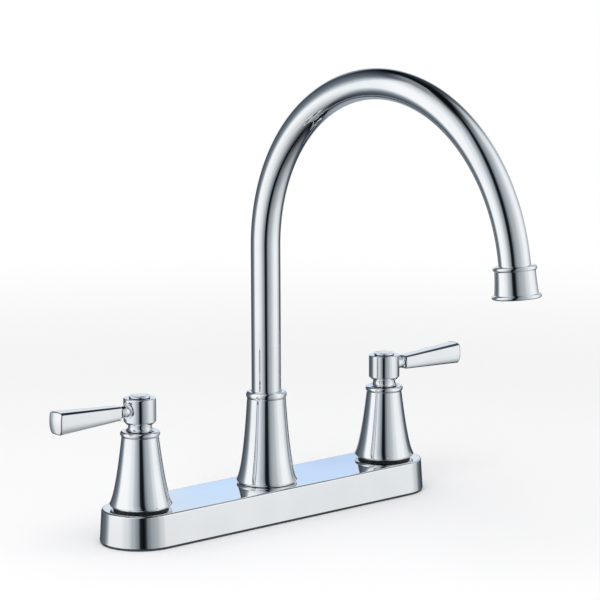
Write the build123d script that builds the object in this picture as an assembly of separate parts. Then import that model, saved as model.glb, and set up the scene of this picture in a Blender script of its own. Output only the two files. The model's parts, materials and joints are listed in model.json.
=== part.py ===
from build123d import *
from math import cos, radians, sin, sqrt
import os

# Two handle kitchen faucet with a gooseneck spout on a long deck plate.
# Millimetres, +Z up. The origin is the centre of the gasket's underside, on the sink deck.
# The hot handle is at -X, the cold handle at +X, and the spout points to the front, -Y.

# ---- clearances -------------------------------------------------------------------------
THREAD_GAP = 0.1  # radial, between a screwed pair
RUNNING_GAP = 0.05  # radial, between a shaft and the bore it turns in
FACE_GAP = 0.3  # between a turning piece and the face it turns over

# ---- deck plate and gasket --------------------------------------------------------------
HANDLE_SPACING = 203.2  # 8 in between the handle axes
PLATE_WIDTH = 51.0  # front to back, at the foot
PLATE_HEIGHT = 20.0
PLATE_DRAFT = 3.4  # degrees that the sides lean in
PLATE_WALL = 2.2
PLATE_ROOF = 3.0
PLATE_TOP_FILLET = 1.2
PLATE_FOOT_FILLET = 0.5
GASKET_THICKNESS = 1.3
GASKET_INSET = 0.6
GASKET_HOLE_GAP = 2.0  # round each shank

# ---- valve bodies, spout post and their nuts --------------------------------------------
BLOCK_RADIUS = 15.0
BLOCK_FLATS = 26.0  # across the two wrench flats
BLOCK_LIFT = 1.7  # above the gasket
NECK_RISE = 18.7  # valve body above the plate
POST_RISE = 30.7  # spout post above the plate
BODY_WALL = 2.5  # between the cartridge chamber and the outer thread
POST_WALL = 2.0
INLET_BORE_RADIUS = 5.0
PORT_RADIUS = 4.9
SEAT_LAND = 0.75  # metal between the port and the seat under it
BODY_NUT_HEIGHT = 4.5
BODY_NUT_CLEARANCE = 0.6  # between a nut's corners and the bell round it
CROSSOVER_WALL = 1.0
CROSSOVER_INSERT = 5.0  # depth of the tube in each port

# ---- shank below the deck ---------------------------------------------------------------
DECK_THICKNESS = 12.0  # deck that the lock nuts are drawn up to
SHOULDER_RADIUS = 11.5  # plain shoulder through the deck
SHOULDER_LENGTH = 6.0  # below the gasket
MOUNT_THREAD_RADIUS = 11.0
MOUNT_THREAD_SPARE = 8.0  # thread left below the lock nut
INLET_THREAD_RADIUS = 10.48  # 1/2-14 supply thread
INLET_THREAD_LENGTH = 16.0
INLET_CHAMFER = 0.8
WASHER_RADIUS = 19.0
WASHER_THICKNESS = 2.0
LOCK_NUT_RADIUS = 15.0
LOCK_NUT_HEIGHT = 12.0
LOCK_NUT_WINGS = 4
WING_REACH = 22.0
WING_WIDTH = 4.5
WING_CORNER = 1.8

# ---- cartridge --------------------------------------------------------------------------
STEM_RADIUS = 4.0
STEM_FLATS = 6.4  # across the drive flats at the top
DISC_RADIUS = 6.5
DISC_THICKNESS = 2.5
DISC_SLOT_CENTRE = 3.6  # radius of the slots' middle line
DISC_SLOT_WIDTH = 2.8
DISC_SLOT_ANGLE = 60.0
SEAT_SEAL_HEIGHT = 2.0
SEAT_SEAL_WALL = 1.2
CARTRIDGE_WALL = 1.3
CARTRIDGE_FLATS = 18.0  # across the hexagon
CARTRIDGE_HEX_HEIGHT = 6.0
CARTRIDGE_GUIDE_RADIUS = 7.0
CARTRIDGE_GUIDE_HEIGHT = 14.0
WINDOW_HEIGHT = 4.0
WINDOW_WIDTH = 8.0
DRIVER_HEIGHT = 2.5
TANG_LENGTH = 9.0
TANG_WIDTH = 2.6
TANG_DEPTH = 1.0  # of the tang in the moving disc
RING_SECTION = 0.85  # radius of an O-ring's cord
RING_SPACING = 6.0  # between the two O-rings of a pair

# ---- bells ------------------------------------------------------------------------------
BELL_FOOT_RADIUS = 17.3
BELL_FOOT_WALL = 1.7
BELL_LIP_RADIUS = 19.3
BELL_LIP_HEIGHT = 1.9  # of the widest ring above the foot
BELL_LIP_MID_RADIUS = 18.9  # half way round the lip's rounded edge
BELL_LIP_MID_HEIGHT = 0.85
BELL_WALL = 1.8
BELL_ROOF = 3.0
BELL_SEAL_HEIGHT = 1.1
HANDLE_BELL_HEIGHT = 47.1
HANDLE_CREASE_RADIUS = 11.36
HANDLE_RIM_RADIUS = 12.2
HANDLE_RIM_HEIGHT = 3.4
HANDLE_WAIST_RADIUS = 15.65  # control point of the flare
HANDLE_WAIST_HEIGHT = 7.85
SPOUT_BELL_HEIGHT = 58.8
SPOUT_CREASE_RADIUS = 12.24
SPOUT_RIM_RADIUS = 12.75
SPOUT_RIM_HEIGHT = 4.3
SPOUT_WAIST_RADIUS = 15.11
SPOUT_WAIST_HEIGHT = 9.4
RIM_INSET = 1.1  # of the rim's top edge from its widest ring
RIM_WIDEST = 0.4  # share of a rim's height, from its top down to its widest ring
BELL_TOP_HOLE_RADIUS = 7.6

# ---- handles ----------------------------------------------------------------------------
HUB_RADIUS = 10.0
HUB_HEIGHT = 14.4
HUB_CHAMFER_HEIGHT = 1.8
HUB_UNDERSIDE_RADIUS = 8.4
HUB_TOP_CHAMFER = 0.5
HUB_NECK_RADIUS = 7.3
HUB_NECK_HEIGHT = 1.3
HUB_FOOT_RADIUS = 9.1
HUB_FOOT_HEIGHT = 2.6
HUB_FOOT_CURVE = 0.3  # share of the foot's flare at the middle of its curve
SPOTFACE_RADIUS = 5.3
SPOTFACE_DEPTH = 1.8  # of its floor inside the hub
LEVER_STUD_RADIUS = 2.0
LEVER_STUD_LENGTH = 4.8
LEVER_NECK_RADIUS = 3.3
LEVER_NECK_BULGE = 0.5
LEVER_COLLAR_RADIUS = 4.3
LEVER_COLLAR_LENGTH = 1.8
LEVER_START = 17.0  # of the square bar, from the handle axis
LEVER_END = 64.7
LEVER_START_WIDTH = 8.0
LEVER_START_HEIGHT = 8.8
LEVER_START_CORNER = 1.5
LEVER_END_WIDTH = 12.2
LEVER_END_HEIGHT = 13.9
LEVER_END_CORNER = 2.8
LEVER_RISE = 0.5  # of the far end's middle
LEVER_DOME_RADIUS = 34.0
LEVER_END_FILLET = 0.8
SCREW_RADIUS = 1.95
SCREW_LENGTH = 14.0
SCREW_HEAD_RADIUS = 3.6
SCREW_HEAD_HEIGHT = 2.4
SCREW_SOCKET_FLATS = 2.5
SCREW_SOCKET_FLOOR = 0.8  # above the head's underside
STUD_WEB_ABOVE = 1.0  # hub left between the lever's stud and the screw's head
STUD_WEB_BELOW = 2.0  # hub left between the lever's stud and the stem's socket
CAP_RADIUS = 6.4
CAP_HEIGHT = 1.1
CAP_EDGE = 0.3
CAP_GROOVE_RADIUS = 4.9
CAP_GROOVE_WIDTH = 0.5
CAP_GROOVE_DEPTH = 0.3
CAP_SPIGOT = 1.0

# ---- spout ------------------------------------------------------------------------------
TUBE_RADIUS = 9.3
TUBE_WALL = 1.1
SPOUT_RISE = 172.6  # from the deck to the start of the bend
SPOUT_BEND_RADIUS = 108.8
SPOUT_BEND = 174.0  # degrees
TUBE_TAIL = 5.0  # straight end inside the tip
BUSHING_BORE_RADIUS = 6.0
BUSHING_COLLAR_STEP = 1.0  # wider than the tube
BUSHING_COLLAR_HEIGHT = 3.0
BUSHING_SPIGOT = 11.8
BUSHING_END_GAP = 2.0  # above the socket's floor
SOCKET_FLOOR = 2.7  # above the plate
GLIDE_RING_HEIGHT = 2.0
GLIDE_RING_GAP = 0.2
RIM_TUBE_GAP = 0.4  # between the tube and the bell's rim

# ---- spout tip and aerator, measured down from the end of the bend -----------------------
TIP_TOP = 1.5  # above the end of the bend
TIP_BEAD_RADIUS = 12.8
TIP_BEAD_HEIGHT = 2.6
TIP_BEAD_WIDEST = 0.6  # share of the bead's height, from its top down to its widest ring
TIP_SLEEVE_RADIUS = 11.9
TIP_SLEEVE_FLARE = 0.9
TIP_SLEEVE_CURVE = 0.3  # share of the flare that the sleeve's middle has
TIP_SHOULDER_RADIUS = 10.5
TIP_LIP_RADIUS = 14.4
TIP_LIP_HEIGHT = 2.6
TIP_LENGTH = 18.7
TIP_LEDGE = 2.0
AERATOR_RADIUS = 10.9
AERATOR_WALL = 1.5
AERATOR_HEIGHT = 8.0
AERATOR_LIP = 1.6
AERATOR_LIP_STEP = 1.2
AERATOR_WASHER_HEIGHT = 1.2
AERATOR_WASHER_WALL = 3.0
INSERT_HEIGHT = 3.0
INSERT_HOLE_RADIUS = 1.1
INSERT_HOLE_CIRCLE = 6.0  # radius that the holes lie on
INSERT_HOLES = 10
SCREEN_THICKNESS = 0.6
SCREEN_PITCH = 2.6
SCREEN_BAR = 0.7
SCREEN_RIM = 1.0

# ---- places worked out from the sizes above ---------------------------------------------
plate_top = GASKET_THICKNESS + PLATE_HEIGHT
plate_roof = plate_top - PLATE_ROOF
block_bottom = GASKET_THICKNESS + BLOCK_LIFT
port_height = (block_bottom + plate_roof) / 2
seat_height = port_height - PORT_RADIUS - SEAT_LAND
neck_top = plate_top + NECK_RISE
post_top = plate_top + POST_RISE

chamber_radius = DISC_RADIUS + THREAD_GAP
barrel_radius = chamber_radius + CARTRIDGE_WALL
neck_radius = barrel_radius + THREAD_GAP + BODY_WALL
bell_thread_radius = neck_radius + THREAD_GAP
bell_cavity_radius = BELL_FOOT_RADIUS - BELL_FOOT_WALL
body_nut_corner = bell_cavity_radius - BODY_NUT_CLEARANCE
body_nut_top = plate_top + BODY_NUT_HEIGHT

washer_top = -DECK_THICKNESS
lock_nut_top = washer_top - WASHER_THICKNESS
lock_nut_bottom = lock_nut_top - LOCK_NUT_HEIGHT
mount_thread_end = lock_nut_bottom - MOUNT_THREAD_SPARE
inlet_end = mount_thread_end - INLET_THREAD_LENGTH

disc_floor = seat_height + SEAT_SEAL_HEIGHT
disc_joint = disc_floor + DISC_THICKNESS
disc_top = disc_joint + DISC_THICKNESS
driver_bottom = disc_top + WINDOW_HEIGHT
driver_top = driver_bottom + DRIVER_HEIGHT
chamber_top = driver_top + THREAD_GAP
hex_top = neck_top + CARTRIDGE_HEX_HEIGHT
guide_top = hex_top + CARTRIDGE_GUIDE_HEIGHT
stem_bore_radius = STEM_RADIUS + RUNNING_GAP

handle_bell_foot = plate_top + BELL_SEAL_HEIGHT
handle_bell_top = handle_bell_foot + HANDLE_BELL_HEIGHT
spout_bell_top = plate_top + SPOUT_BELL_HEIGHT

hub_foot = handle_bell_top + FACE_GAP
hub_neck_bottom = hub_foot + HUB_FOOT_HEIGHT
hub_neck_top = hub_neck_bottom + HUB_NECK_HEIGHT
hub_bottom = hub_neck_top + HUB_CHAMFER_HEIGHT
hub_top = hub_bottom + HUB_HEIGHT
lever_height = (hub_bottom + hub_top) / 2
screw_seat = lever_height + LEVER_STUD_RADIUS + THREAD_GAP + STUD_WEB_ABOVE
socket_top = lever_height - LEVER_STUD_RADIUS - THREAD_GAP - STUD_WEB_BELOW
stem_top = socket_top - FACE_GAP
screw_bore_radius = SCREW_RADIUS + THREAD_GAP
spotface_floor = HUB_RADIUS - SPOTFACE_DEPTH
screw_pocket_radius = SCREW_HEAD_RADIUS + FACE_GAP

tube_bore_radius = TUBE_RADIUS - TUBE_WALL
socket_radius = neck_radius - POST_WALL
plug_radius = socket_radius - RUNNING_GAP
socket_floor = plate_top + SOCKET_FLOOR
collar_radius = TUBE_RADIUS + BUSHING_COLLAR_STEP
collar_bottom = post_top + GLIDE_RING_GAP
tube_bottom = collar_bottom + BUSHING_COLLAR_HEIGHT
glide_ring_bottom = tube_bottom + GLIDE_RING_GAP
glide_ring_top = glide_ring_bottom + GLIDE_RING_HEIGHT
bell_ledge = glide_ring_top + GLIDE_RING_GAP

tip_bottom = TIP_TOP - TIP_LENGTH
washer_seat = -TUBE_TAIL - TIP_LEDGE
aerator_top = washer_seat - AERATOR_WASHER_HEIGHT
aerator_bottom = aerator_top - AERATOR_HEIGHT
aerator_bore_radius = AERATOR_RADIUS - AERATOR_WALL
aerator_floor = aerator_bottom + AERATOR_LIP
insert_radius = aerator_bore_radius - THREAD_GAP


# ---- shapes that many pieces share ------------------------------------------------------
STANDING = (Align.CENTER, Align.CENTER, Align.MIN)


def disc(radius, bottom, top):
    """A plain cylinder on the Z axis between two heights."""
    return Pos(0, 0, bottom) * Cylinder(radius, top - bottom, align=STANDING)


def ring(inner, outer, bottom, top):
    """A plain tube on the Z axis between two heights."""
    return disc(outer, bottom, top) - disc(inner, bottom, top)


def hexagon(corner_radius, bottom, top):
    """A hexagonal prism on the Z axis."""
    return Pos(0, 0, bottom) * extrude(RegularPolygon(corner_radius, 6), top - bottom)


def turned(*edges):
    """A solid turned about the Z axis from a closed outline of (radius, height) edges."""
    outline = make_face(Curve() + [*edges])
    return revolve(Plane.XZ * outline, Axis.Z)


def across_x(radius, start, end, height):
    """A round bar along X between two places, at a height."""
    bar = Cylinder(radius, end - start, align=STANDING)
    return Pos(start, 0, height) * Rot(0, 90, 0) * bar


def o_ring(outer_radius, height):
    """An O-ring whose outer edge has the given radius."""
    return Pos(0, 0, height) * Torus(outer_radius - RING_SECTION, RING_SECTION)


def ring_groove(outer_radius, height):
    """The groove that an O-ring of the same outer edge lies in."""
    floor = outer_radius - 2 * RING_SECTION - THREAD_GAP / 2
    half = RING_SECTION + THREAD_GAP
    return ring(floor, outer_radius + RING_SECTION, height - half, height + half)


def plate_slot(width):
    """The plate's outline, straight sides with round ends, for a given width."""
    return SlotCenterToCenter(HANDLE_SPACING, width)


def wing_nut():
    """Lock nut with wings that a hand can turn."""
    wing_length = WING_REACH - LOCK_NUT_RADIUS / 2
    wing = Box(wing_length, WING_WIDTH, LOCK_NUT_HEIGHT, align=(Align.MIN, Align.CENTER, Align.MIN))
    wing = fillet(wing.edges().filter_by(Axis.Z).group_by(Axis.X)[-1], WING_CORNER)
    wing = Pos(LOCK_NUT_RADIUS / 2, 0, lock_nut_bottom) * wing
    nut = disc(LOCK_NUT_RADIUS, lock_nut_bottom, lock_nut_top)
    for turn in range(LOCK_NUT_WINGS):
        nut += Rot(0, 0, 360 / LOCK_NUT_WINGS * turn) * wing
    return nut - disc(MOUNT_THREAD_RADIUS + THREAD_GAP, lock_nut_bottom, lock_nut_top)


# ---- deck plate -------------------------------------------------------------------------
def deck_plate():
    """Hollow chrome plate, open underneath, with a hole for each neck."""
    shell = extrude(plate_slot(PLATE_WIDTH), PLATE_HEIGHT, taper=PLATE_DRAFT)
    shell = fillet(shell.faces().sort_by(Axis.Z)[-1].edges(), PLATE_TOP_FILLET)
    shell = fillet(shell.faces().sort_by(Axis.Z)[0].edges(), PLATE_FOOT_FILLET)
    inside = plate_slot(PLATE_WIDTH - 2 * PLATE_WALL)
    shell -= extrude(inside, PLATE_HEIGHT - PLATE_ROOF, taper=PLATE_DRAFT)
    for place in (-HANDLE_SPACING / 2, 0, HANDLE_SPACING / 2):
        shell -= Pos(place, 0, 0) * disc(neck_radius + 2 * THREAD_GAP, 0, PLATE_HEIGHT)
    return Pos(0, 0, GASKET_THICKNESS) * shell


def base_gasket():
    """Flat pad under the plate, with a hole round each shank."""
    pad = extrude(plate_slot(PLATE_WIDTH - 2 * GASKET_INSET), GASKET_THICKNESS)
    for place in (-HANDLE_SPACING / 2, HANDLE_SPACING / 2):
        pad -= Pos(place, 0, 0) * disc(SHOULDER_RADIUS + GASKET_HOLE_GAP, 0, GASKET_THICKNESS)
    return pad


# ---- brass bodies inside the plate ------------------------------------------------------
def body_block():
    """Cast block under the plate's roof, round with two flats."""
    block = disc(BLOCK_RADIUS, block_bottom, plate_roof)
    return block & Pos(0, 0, port_height) * Box(2 * BLOCK_RADIUS, BLOCK_FLATS, PLATE_HEIGHT)


def valve_body():
    """Block, neck and shank in one, with the cartridge chamber and the side port."""
    body = body_block() + disc(neck_radius, plate_roof, neck_top)
    body += disc(SHOULDER_RADIUS, -SHOULDER_LENGTH, block_bottom)
    body += disc(MOUNT_THREAD_RADIUS, mount_thread_end, -SHOULDER_LENGTH)
    inlet = disc(INLET_THREAD_RADIUS, inlet_end, mount_thread_end)
    body += chamfer(inlet.edges().group_by(Axis.Z)[0], INLET_CHAMFER)
    body -= disc(INLET_BORE_RADIUS, inlet_end, seat_height)
    body -= disc(barrel_radius + THREAD_GAP, seat_height, neck_top)
    return body - across_x(PORT_RADIUS, -BLOCK_RADIUS, 0, port_height)


def spout_post():
    """Block with a tall socket that the spout turns in, fed from both sides."""
    post = body_block() + disc(neck_radius, plate_roof, post_top)
    post -= disc(INLET_BORE_RADIUS, port_height, socket_floor)
    post -= disc(socket_radius, socket_floor, post_top)
    return post - across_x(PORT_RADIUS, -BLOCK_RADIUS, BLOCK_RADIUS, port_height)


def crossover_tube():
    """Copper tube from the spout post's port to the valve body's port on the +X side."""
    start = BLOCK_RADIUS - CROSSOVER_INSERT
    end = HANDLE_SPACING / 2 - start
    outer = PORT_RADIUS - THREAD_GAP
    bore = across_x(outer - CROSSOVER_WALL, start, end, port_height)
    return across_x(outer, start, end, port_height) - bore


def body_nuts():
    """The three hexagon nuts that hold the bodies to the plate."""
    nut = hexagon(body_nut_corner, plate_top, body_nut_top)
    nut -= disc(bell_thread_radius, plate_top, body_nut_top)
    return [Pos(place, 0, 0) * nut for place in (-HANDLE_SPACING / 2, 0, HANDLE_SPACING / 2)]


def mounting_washer():
    """Washer against the underside of the deck."""
    return ring(SHOULDER_RADIUS + FACE_GAP, WASHER_RADIUS, lock_nut_top, washer_top)


# ---- cartridge --------------------------------------------------------------------------
def seat_seal():
    """Rubber ring between the seat and the fixed disc."""
    return ring(DISC_RADIUS - SEAT_SEAL_WALL, DISC_RADIUS, seat_height, disc_floor)


def slotted_disc(bottom, turn):
    """Ceramic disc with two opposite curved slots."""
    plate = disc(DISC_RADIUS, bottom, bottom + DISC_THICKNESS)
    for side in (0, 180):
        centre_line = CenterArc((0, 0), DISC_SLOT_CENTRE, side - DISC_SLOT_ANGLE / 2, DISC_SLOT_ANGLE)
        slot = extrude(SlotArc(centre_line, DISC_SLOT_WIDTH), DISC_THICKNESS)
        plate -= Pos(0, 0, bottom) * Rot(0, 0, turn) * slot
    return plate


def fixed_disc():
    """Lower ceramic disc, held still in the cartridge."""
    return slotted_disc(disc_floor, 0)


def moving_disc():
    """Upper ceramic disc, turned by the stem's tang. Shut at rest, a quarter turn from open."""
    recess = Box(TANG_LENGTH + 2 * THREAD_GAP, TANG_WIDTH + 2 * THREAD_GAP, 2 * TANG_DEPTH)
    return slotted_disc(disc_joint, 90) - Pos(0, 0, disc_top) * recess


def cartridge_body():
    """Brass barrel with a hexagon, windows over the discs and a guide for the stem."""
    bottom = seat_height + THREAD_GAP
    body = disc(barrel_radius, bottom, neck_top)
    body += hexagon(CARTRIDGE_FLATS / sqrt(3), neck_top, hex_top)
    body += disc(CARTRIDGE_GUIDE_RADIUS, hex_top, guide_top)
    body -= disc(chamber_radius, bottom, chamber_top)
    body -= disc(stem_bore_radius, chamber_top, guide_top)
    window = Box(2 * BLOCK_RADIUS, WINDOW_WIDTH, WINDOW_HEIGHT)
    return body - Pos(0, 0, disc_top + WINDOW_HEIGHT / 2) * window


def stem():
    """Brass stem: tang, driver, O-ring grooves, and drive flats with a tapped hole on top."""
    tang = Box(TANG_LENGTH, TANG_WIDTH, WINDOW_HEIGHT + TANG_DEPTH)
    body = Pos(0, 0, disc_top + (WINDOW_HEIGHT - TANG_DEPTH) / 2) * tang
    body += disc(DISC_RADIUS, driver_bottom, driver_top)
    body += disc(STEM_RADIUS, driver_top, guide_top)
    drive = Box(2 * STEM_RADIUS, STEM_FLATS, stem_top - guide_top, align=STANDING)
    body += Pos(0, 0, guide_top) * drive & disc(STEM_RADIUS, guide_top, stem_top)
    for height in ring_heights():
        body -= ring_groove(STEM_RADIUS, height)
    return body - disc(screw_bore_radius, screw_seat - SCREW_LENGTH - FACE_GAP, stem_top)


def ring_heights():
    """Heights of the stem's two O-rings."""
    first = chamber_top + RING_SPACING
    return (first, first + RING_SPACING)


def stem_o_rings():
    """The two O-rings on a stem."""
    return [o_ring(STEM_RADIUS, height) for height in ring_heights()]


# ---- bells ------------------------------------------------------------------------------
def bell_form(foot, height, crease_radius, rim_radius, rim_height, waist):
    """Solid flared bell: rounded lip, one smooth flare up to the crease, and a rolled rim."""
    top = foot + height
    lip = (BELL_LIP_RADIUS, foot + BELL_LIP_HEIGHT)
    lip_middle = (BELL_LIP_MID_RADIUS, foot + BELL_LIP_MID_HEIGHT)
    waist_radius, waist_height = waist
    crease = (crease_radius, top - rim_height)
    rim_middle = (rim_radius, top - RIM_WIDEST * rim_height)
    rim_top = (rim_radius - RIM_INSET, top)
    return turned(
        Line((0, foot), (BELL_FOOT_RADIUS, foot)),
        ThreePointArc((BELL_FOOT_RADIUS, foot), lip_middle, lip),
        Bezier(lip, (waist_radius, foot + waist_height), crease),
        ThreePointArc(crease, rim_middle, rim_top),
        Polyline(rim_top, (0, top), (0, foot)),
    )


def handle_bell():
    """Bell that screws down on a valve body and covers its cartridge."""
    bell = bell_form(
        handle_bell_foot,
        HANDLE_BELL_HEIGHT,
        HANDLE_CREASE_RADIUS,
        HANDLE_RIM_RADIUS,
        HANDLE_RIM_HEIGHT,
        (HANDLE_WAIST_RADIUS, HANDLE_WAIST_HEIGHT),
    )
    collar_low = body_nut_top + BELL_WALL
    collar_high = neck_top - THREAD_GAP
    roof = handle_bell_top - BELL_ROOF
    bell -= disc(bell_cavity_radius, handle_bell_foot, collar_low)
    bell -= disc(bell_thread_radius, collar_low, collar_high)
    low_radius = CARTRIDGE_FLATS / sqrt(3) + BELL_WALL
    cavity = Cone(low_radius, HANDLE_CREASE_RADIUS - BELL_WALL, roof - collar_high)
    bell -= Pos(0, 0, (collar_high + roof) / 2) * cavity
    return bell - disc(BELL_TOP_HOLE_RADIUS, roof, handle_bell_top)


def bell_seal():
    """Black ring between a handle bell and the plate."""
    return ring(body_nut_corner + FACE_GAP, BELL_FOOT_RADIUS - FACE_GAP, plate_top, handle_bell_foot)


def spout_bell():
    """Bell that screws down on the post and keeps the spout in its socket."""
    bell = bell_form(
        plate_top,
        SPOUT_BELL_HEIGHT,
        SPOUT_CREASE_RADIUS,
        SPOUT_RIM_RADIUS,
        SPOUT_RIM_HEIGHT,
        (SPOUT_WAIST_RADIUS, SPOUT_WAIST_HEIGHT),
    )
    collar_low = body_nut_top + BELL_WALL
    bell -= disc(bell_cavity_radius, plate_top, collar_low)
    bell -= disc(bell_thread_radius, collar_low, post_top)
    bell -= disc(collar_radius + FACE_GAP, post_top, bell_ledge)
    return bell - disc(TUBE_RADIUS + RIM_TUBE_GAP, bell_ledge, spout_bell_top)


# ---- handles, drawn with the lever towards +X --------------------------------------------
def handle_hub():
    """Chrome hub with a narrow neck, a flared foot, and a flat seat for the lever."""
    foot = (HUB_FOOT_RADIUS, hub_foot)
    foot_reach = HUB_FOOT_CURVE * (HUB_FOOT_RADIUS - HUB_NECK_RADIUS)
    foot_middle = (HUB_NECK_RADIUS + foot_reach, hub_foot + HUB_FOOT_CURVE * HUB_FOOT_HEIGHT)
    neck_bottom = (HUB_NECK_RADIUS, hub_neck_bottom)
    hub = turned(
        Line((0, hub_foot), foot),
        ThreePointArc(foot, foot_middle, neck_bottom),
        Polyline(
            neck_bottom,
            (HUB_NECK_RADIUS, hub_neck_top),
            (HUB_UNDERSIDE_RADIUS, hub_neck_top),
            (HUB_RADIUS, hub_bottom),
            (HUB_RADIUS, hub_top - HUB_TOP_CHAMFER),
            (HUB_RADIUS - HUB_TOP_CHAMFER, hub_top),
            (0, hub_top),
            (0, hub_foot),
        ),
    )
    flats = STEM_FLATS + 2 * RUNNING_GAP
    socket = Box(2 * stem_bore_radius, flats, socket_top - hub_foot, align=STANDING)
    hub -= Pos(0, 0, hub_foot) * socket & disc(stem_bore_radius, hub_foot, socket_top)
    hub -= disc(screw_bore_radius, socket_top, screw_seat)
    hub -= disc(screw_pocket_radius, screw_seat, hub_top)
    hub -= across_x(SPOTFACE_RADIUS, spotface_floor, HUB_RADIUS, lever_height)
    stud_end = spotface_floor - LEVER_STUD_LENGTH
    return hub - across_x(LEVER_STUD_RADIUS + THREAD_GAP, stud_end, spotface_floor, lever_height)


def lever_section(place, width, height, corner, rise):
    """The lever's rounded section at a distance from the handle axis."""
    across = Plane((place, 0, lever_height + rise), x_dir=(0, 1, 0), z_dir=(1, 0, 0))
    return across * RectangleRounded(width, height, corner)


def lever():
    """Square bar that flares outward to a domed end, on a round neck with a stud."""
    start = lever_section(LEVER_START, LEVER_START_WIDTH, LEVER_START_HEIGHT, LEVER_START_CORNER, 0)
    end = lever_section(LEVER_END, LEVER_END_WIDTH, LEVER_END_HEIGHT, LEVER_END_CORNER, LEVER_RISE)
    bar = loft([start, end])
    bar &= Pos(LEVER_END - LEVER_DOME_RADIUS, 0, lever_height + LEVER_RISE) * Sphere(LEVER_DOME_RADIUS)
    bar = fillet(bar.faces().sort_by(Axis.X)[-1].edges(), LEVER_END_FILLET)
    collar_start = LEVER_START - LEVER_COLLAR_LENGTH
    neck_start = (LEVER_NECK_RADIUS, spotface_floor)
    neck_middle = (LEVER_NECK_RADIUS + LEVER_NECK_BULGE, (spotface_floor + collar_start) / 2)
    neck_end = (LEVER_NECK_RADIUS, collar_start)
    neck = turned(
        Line((0, spotface_floor), neck_start),
        ThreePointArc(neck_start, neck_middle, neck_end),
        Polyline(
            neck_end,
            (LEVER_COLLAR_RADIUS, collar_start + LEVER_COLLAR_LENGTH / 2),
            (LEVER_NECK_RADIUS, LEVER_START),
            (0, LEVER_START),
            (0, spotface_floor),
        ),
    )
    bar += Pos(0, 0, lever_height) * Rot(0, 90, 0) * neck
    stud_end = spotface_floor - LEVER_STUD_LENGTH
    return bar + across_x(LEVER_STUD_RADIUS, stud_end, spotface_floor, lever_height)


def handle_screw():
    """Screw from the hub down into the stem, under the index cap."""
    head_top = screw_seat + SCREW_HEAD_HEIGHT
    screw = disc(SCREW_RADIUS, screw_seat - SCREW_LENGTH, screw_seat)
    screw += disc(SCREW_HEAD_RADIUS, screw_seat, head_top)
    return screw - hexagon(SCREW_SOCKET_FLATS / sqrt(3), screw_seat + SCREW_SOCKET_FLOOR, head_top)


def index_cap():
    """Round button on the hub, with a plain ring groove and a spigot in the screw's pocket."""
    top = hub_top + CAP_HEIGHT
    cap = disc(CAP_RADIUS, hub_top, top)
    cap = chamfer(cap.edges().group_by(Axis.Z)[-1], CAP_EDGE)
    half = CAP_GROOVE_WIDTH / 2
    cap -= ring(CAP_GROOVE_RADIUS - half, CAP_GROOVE_RADIUS + half, top - CAP_GROOVE_DEPTH, top)
    return cap + disc(screw_pocket_radius - RUNNING_GAP, hub_top - CAP_SPIGOT, hub_top)


# ---- spout ------------------------------------------------------------------------------
def spout_path():
    """Centre line of the spout: straight up, round the bend, and a short straight tail."""
    riser = Line((0, 0, tube_bottom), (0, 0, SPOUT_RISE))
    side_plane = Plane((0, 0, SPOUT_RISE), x_dir=(0, 1, 0), z_dir=(1, 0, 0))
    bend = side_plane * JernArc((0, 0), (0, 1), SPOUT_BEND_RADIUS, SPOUT_BEND)
    tail = Line(bend @ 1, (bend @ 1) + (bend % 1) * TUBE_TAIL)
    return Curve() + [riser, bend, tail]


def spout_tube():
    """Bent chrome tube."""
    path = spout_path()
    start = Plane((0, 0, tube_bottom))
    outer = sweep(start * Circle(TUBE_RADIUS), path=path)
    return outer - sweep(start * Circle(tube_bore_radius), path=path)


def plug_ring_heights():
    """Heights of the spout's two O-rings in its socket."""
    middle = (socket_floor + post_top) / 2
    return (middle - RING_SPACING / 2, middle + RING_SPACING / 2)


def spout_bushing():
    """Brass end of the spout: plug with two grooves, collar, and a spigot inside the tube."""
    bottom = socket_floor + BUSHING_END_GAP
    top = tube_bottom + BUSHING_SPIGOT
    bushing = disc(plug_radius, bottom, collar_bottom)
    bushing += disc(collar_radius, collar_bottom, tube_bottom)
    bushing += disc(tube_bore_radius - THREAD_GAP / 2, tube_bottom, top)
    for height in plug_ring_heights():
        bushing -= ring_groove(plug_radius, height)
    return bushing - disc(BUSHING_BORE_RADIUS, bottom, top)


def spout_o_rings():
    """The two O-rings on the bushing's plug."""
    return [o_ring(plug_radius, height) for height in plug_ring_heights()]


def glide_ring():
    """Plastic ring between the bushing's collar and the bell's ledge."""
    return ring(TUBE_RADIUS + GLIDE_RING_GAP, collar_radius, glide_ring_bottom, glide_ring_top)


def at_tip(piece):
    """Move a piece drawn about the Z axis to the end of the bend, with Z along the tube."""
    turn = radians(SPOUT_BEND)
    reach = SPOUT_BEND_RADIUS * (1 - cos(turn))
    height = SPOUT_RISE + SPOUT_BEND_RADIUS * sin(turn)
    return Pos(0, -reach, height) * Rot(SPOUT_BEND - 180, 0, 0) * piece


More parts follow.
